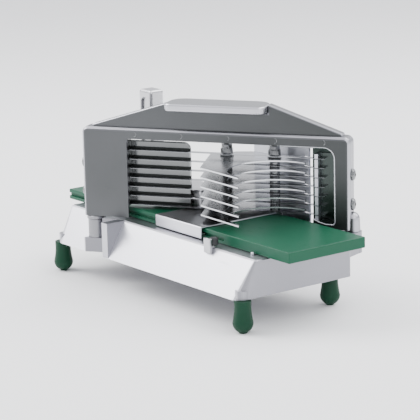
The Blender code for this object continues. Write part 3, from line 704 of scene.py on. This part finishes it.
def beaded_path(name: str, points: Sequence[Vector], radius: float,
                material: bpy.types.Material) -> bpy.types.Object:
    """Round bead along a path.

    Args:
        name: name of the piece.
        points: points of the path.
        radius: radius of the bead.
        material: its finish.

    Returns:
        The bead as a plain mesh.
    """
    curve = bpy.data.curves.new(name, "CURVE")
    curve.dimensions = "3D"
    spline = curve.splines.new("POLY")
    spline.points.add(len(points) - 1)
    for spot, point in zip(spline.points, points):
        spot.co = (*point, 1.0)
    path = bpy.data.objects.new(name + "_path", curve)
    bpy.context.scene.collection.objects.link(path)
    tree = GeoTree("bead", {"Radius": radius})
    source = tree.node("GeometryNodeObjectInfo", {}, {"Object": path}, "Geometry")
    ring = tree.node("GeometryNodeCurvePrimitiveCircle", {}, {"Resolution": BEAD_SIDES,
                                                              "Radius": tree.size("Radius")})
    swept = tree.node("GeometryNodeCurveToMesh", {}, {"Curve": source, "Profile Curve": ring,
                                                      "Fill Caps": True})
    obj = tree.bake(name, swept, material)
    bpy.data.objects.remove(path, do_unlink=True)
    smooth(obj, 60)
    return obj


# ------------------------------------------------------------------ sub-assemblies
@dataclass
class Housing:
    """Cast housing, rubber feet, stop and rim pin."""

    shop: Shop
    feet: tuple[str, ...] = ("foot_front_left", "foot_front_right", "foot_rear_left",
                             "foot_rear_right")

    def build(self) -> None:
        """Dress the housing and what is fixed to it, and round the stop's edges."""
        shell = copied("base_housing", "housing_casting")
        # painted light and shade on the housing, by facing direction
        paint_facing_light(shell, HOUSING_TONES, 14.0)
        self.shop.dress(shell, "housing")
        install(shell, Body.BASE, "base_housing", "base_housing")
        for foot in self.feet:
            self.shop.dress(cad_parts[foot], "rubber")
        tab = softened("stop_tab", "stop_tab_rounded", 0.0006)
        self.shop.dress(tab, "handle")
        install(tab, Body.BASE, "stop_tab", "stop_tab")
        self.shop.dress(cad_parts["stop_bumper"], "bumper")
        self.shop.dress(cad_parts["rim_pin"], "mirror")


@dataclass
class Board:
    """Green slide board."""

    shop: Shop

    def build(self) -> None:
        """Dress the board."""
        self.shop.dress(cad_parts["slide_board"], "green")


@dataclass
class BladeFrame:
    """Diagonal cast frame with its pad, screws, supports and edge beads."""

    shop: Shop
    opening_right: float = 0.3593
    opening_top: float = 0.2050
    corner: float = 0.015
    corner_steps: int = 8
    proud: float = 0.0006
    beam_run: float = 0.075
    lip: tuple[tuple[float, float], ...] = (
        (0.0, 0.1045), (0.002, 0.1012), (0.0130, 0.1015), (0.022, 0.1040), (0.030, 0.1078))
    bead: float = 0.0009
    marks: int = 5
    mark_first: float = 0.077
    mark_step: float = 0.0666
    mark_height: float = 0.2115
    mark_radius: float = 0.0034
    mark_wire: float = 0.00055

    def build(self) -> None:
        """Dress the frame and add its fine pieces."""
        portal = copied("guard_frame", "portal_casting")
        # painted shade on the frame front and painted highlights on its edges, by facing direction
        paint_facing_light(portal, PORTAL_TONES, 20.0)
        self.shop.dress(portal, "frame")
        install(portal, Body.BASE, "guard_frame", "guard_frame")
        pad = copied("grip_pad", "grip_pad_cast", 50.0)
        # painted light and shade on the grip pad, by facing direction
        paint_facing_light(pad, PAD_TONES, 12.0)
        self.shop.dress(pad, "pad")
        install(pad, Body.BASE, "grip_pad", "grip_pad")
        for node in ("frame_washer", "frame_spigot"):
            self.shop.dress(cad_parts[node], "spigot")
        for side in ("left", "right"):
            for place in ("upper", "lower"):
                self.shop.dress(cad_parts["side_screw_%s_%s" % (side, place)], "turned")
        self.edge_beads()
        self.crescents()

    def edge_beads(self) -> None:
        """Bright bead along the right side and lower lip of the opening, standing in for the
        highlight on its rounded edge.
        """
        side, top, radius = self.opening_right, self.opening_top, self.corner
        path = [panel_point(side - self.beam_run, self.proud, top - 0.0002)]
        for k in range(self.corner_steps + 1):
            angle = math.radians(90 - 90 * k / self.corner_steps)
            path.append(panel_point(side - radius + radius * math.cos(angle), self.proud,
                                    top - radius + radius * math.sin(angle)))
        path += [panel_point(side - inward, self.proud, height) for inward, height in self.lip]
        bead = beaded_path("opening_bead", path, self.bead, self.shop.get("bead"))
        install(bead, Body.BASE, "guard_frame")

    def crescents(self) -> None:
        """Small raised crescents along the beam."""
        tree = GeoTree("crescents", {"Radius": self.mark_radius, "Wire": self.mark_wire,
                                     "Step": self.mark_step})
        arc = tree.node("GeometryNodeCurveArc", {}, {
            "Resolution": 14, "Radius": tree.size("Radius"), "Start Angle": math.radians(-80),
            "Sweep Angle": math.radians(160)})
        ring = tree.node("GeometryNodeCurvePrimitiveCircle", {}, {"Resolution": 8,
                                                                  "Radius": tree.size("Wire")})
        swept = tree.node("GeometryNodeCurveToMesh", {}, {"Curve": arc, "Profile Curve": ring,
                                                          "Fill Caps": True})
        step = tree.node("ShaderNodeCombineXYZ", {}, {0: tree.size("Step"), 1: 0.0, 2: 0.0})
        line = tree.node("GeometryNodeMeshLine", {}, {"Count": self.marks, "Offset": step})
        spread = tree.node("GeometryNodeInstanceOnPoints", {}, {"Points": line,
                                                                "Instance": swept})
        obj = tree.bake("beam_crescents", spread, self.shop.get("turned"))
        obj.data.transform(Matrix.Rotation(math.pi / 2, 4, "X"))
        turn = Matrix.Rotation(PANEL_ANGLE, 4, "Z")
        start = panel_point(self.mark_first, 0.0001, self.mark_height)
        obj.data.transform(Matrix.Translation(start) @ turn)
        smooth(obj, 60)
        install(obj, Body.BASE, "guard_frame")


@dataclass
class BladeSet:
    """Blades, spacing combs and holders."""

    shop: Shop
    count: int = 7

    def build(self) -> None:
        """Dress blades and holders."""
        for i in range(self.count):
            self.shop.dress(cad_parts["blade_%d" % (i + 1)], "blade")
        self.shop.dress(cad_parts["blade_comb_left"], "turned")
        self.shop.dress(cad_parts["blade_comb_right"], "mirror")
        self.shop.dress(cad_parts["blade_holder_right"], "holder")
        # back plate in a near-black colour that paints the shade of the recess behind the left comb
        self.shop.dress(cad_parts["frame_back_plate"], "backing")
        self.shop.dress(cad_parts["blade_holder_left"], "handle")


@dataclass
class Fence:
    """Polished plate on the rear wall."""

    shop: Shop

    def build(self) -> None:
        """Dress the fence and its screws."""
        self.shop.dress(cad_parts["rear_fence"], "mirror")
        for i in (1, 2):
            self.shop.dress(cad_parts["fence_screw_%d" % i], "turned")


@dataclass
class Carriage:
    """Pusher: carriage plate, finned stack, comb, body and handle."""

    shop: Shop
    rods: dict[str, tuple[float, float]] = field(default_factory=lambda: {
        "front": (0.018 + SHIFT_X, 0.040 + SHIFT_Y), "rear": (0.0725 + SHIFT_X, 0.0787 + SHIFT_Y)})
    rod_low: float = 0.1095
    rod_high: float = 0.2030
    rod_radius: float = 0.0040
    thread_pitch: float = 0.00125
    thread_depth: float = 0.0006

    def build(self) -> None:
        """Dress the carriage, round its sheet and nuts, and make the threaded rods."""
        saddle = softened("saddle_plate", "saddle_plate_rounded", 0.0005)
        # painted light and shade on the saddle, by facing direction
        paint_facing_light(saddle, SADDLE_TONES, 10.0)
        self.shop.dress(saddle, "sheet")
        install(saddle, Body.PUSHER, "saddle_plate", "saddle_plate")
        for i in range(FIN_COUNT):
            node = "fin_%d" % (i + 1)
            fin = copied(node, "polished_" + node)
            # painted light, painted reflection and painted shade on each fin, by facing direction
            paint_facing_light(fin, FIN_TONES, 6.0)
            self.shop.dress(fin, "fin")
            install(fin, Body.PUSHER, node, node)
        for side, (x, y) in self.rods.items():
            for i in range(FIN_COUNT):
                self.shop.dress(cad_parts["sleeve_%s_%d" % (side, i + 1)], "turned")
            nut = softened("nut_stack_" + side, "nuts_" + side, 0.0004)
            self.shop.dress(nut, "turned")
            install(nut, Body.PUSHER, "nut_stack_" + side, "nut_stack_" + side)
            stud = threaded_stud("threaded_rod_" + side, self.rod_radius, self.rod_low,
                                 self.rod_high, self.thread_pitch, self.thread_depth,
                                 self.shop.get("thread"))
            stud.data.transform(Matrix.Translation((x, y, 0)))
            install(stud, Body.PUSHER, "rod_" + side, "rod_" + side)
        self.shop.dress(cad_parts["pusher_comb"], "comb")
        self.shop.dress(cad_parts["pusher_body"], "handle")
        self.shop.dress(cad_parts["handle"], "handle")


# ------------------------------------------------------------------ studio
@dataclass
class Studio:
    """Pale floor, soft lights and the camera."""

    eye: Place = (2.1231, -1.58941, 0.7290)
    ahead: Way = (-0.7798, 0.5829, -0.2281)
    across: Way = (0.6027, 0.7977, -0.0219)
    lens: float = 171.43
    sensor: float = 36.0
    reach: float = 60.0
    floor_size: float = 40.0
    floor_colour: Colour = (0.95, 0.95, 0.955)
    sky_colour: Colour = (0.95, 0.96, 1.0)
    sky_strength: float = 1.45

    def build(self) -> None:
        """Make floor, world, lights and camera."""
        self.floor()
        self.world()
        self.light("key_left", (-1.5, -1.2, 1.7), (0.0, 0.0, 0.12), 1.7, 75.0)
        self.light("fill_right", (2.0, -0.2, 1.6), (0.0, 0.0, 0.1), 1.6, 18.0)
        self.light("rear_top", (0.2, 1.5, 2.0), (0.0, 0.0, 0.1), 2.2, 70.0)
        self.camera()

    def floor(self) -> None:
        """Plain pale floor."""
        bpy.ops.mesh.primitive_plane_add(size=self.floor_size, location=(0, 0, 0))
        floor = bpy.context.object
        floor.name = "studio_floor"
        tree = ShaderTree("pale_floor")
        tree.feed(tree.shader.inputs["Base Color"], (*self.floor_colour, 1.0))
        tree.feed(tree.shader.inputs["Roughness"], 0.75)
        floor.data.materials.append(tree.material)

    def world(self) -> None:
        """Even pale surroundings."""
        world = bpy.data.worlds.new("studio")
        bpy.context.scene.world = world
        world.use_nodes = True
        back = world.node_tree.nodes["Background"]
        back.inputs["Color"].default_value = (*self.sky_colour, 1.0)
        back.inputs["Strength"].default_value = self.sky_strength

    def light(self, name: str, place: Iterable[float], target: Iterable[float], size: float,
              power: float) -> None:
        """Square soft light.

        Args:
            name: name of the light.
            place: where it stands.
            target: where it points.
            size: edge length.
            power: strength in watts.
        """
        data = bpy.data.lights.new(name, "AREA")
        data.size = size
        data.energy = power
        obj = bpy.data.objects.new(name, data)
        obj.location = tuple(place)
        aim = Vector(tuple(target)) - obj.location
        obj.rotation_euler = aim.to_track_quat("-Z", "Y").to_euler()
        bpy.context.scene.collection.objects.link(obj)

    def camera(self) -> None:
        """Long-lens camera."""
        data = bpy.data.cameras.new("camera")
        data.lens = self.lens
        data.sensor_width = self.sensor
        data.clip_end = self.reach
        cam = bpy.data.objects.new("camera", data)
        back = -Vector(self.ahead).normalized()
        right = Vector(self.across).normalized()
        up = back.cross(right)
        turn = Matrix((right, up, back)).transposed()
        cam.matrix_world = Matrix.Translation(Vector(self.eye)) @ turn.to_4x4()
        bpy.context.scene.collection.objects.link(cam)
        bpy.context.scene.camera = cam


def main() -> None:
    """Build every sub-assembly in order, then the studio."""
    logging.basicConfig(level=logging.INFO)
    shop = Shop()
    parts = [Housing(shop), Board(shop), BladeFrame(shop), BladeSet(shop), Fence(shop),
             Carriage(shop)]
    for part in parts:
        part.build()
        LOG.info("%s built", type(part).__name__)
    Studio().build()


if __name__ == "__main__":
    main()
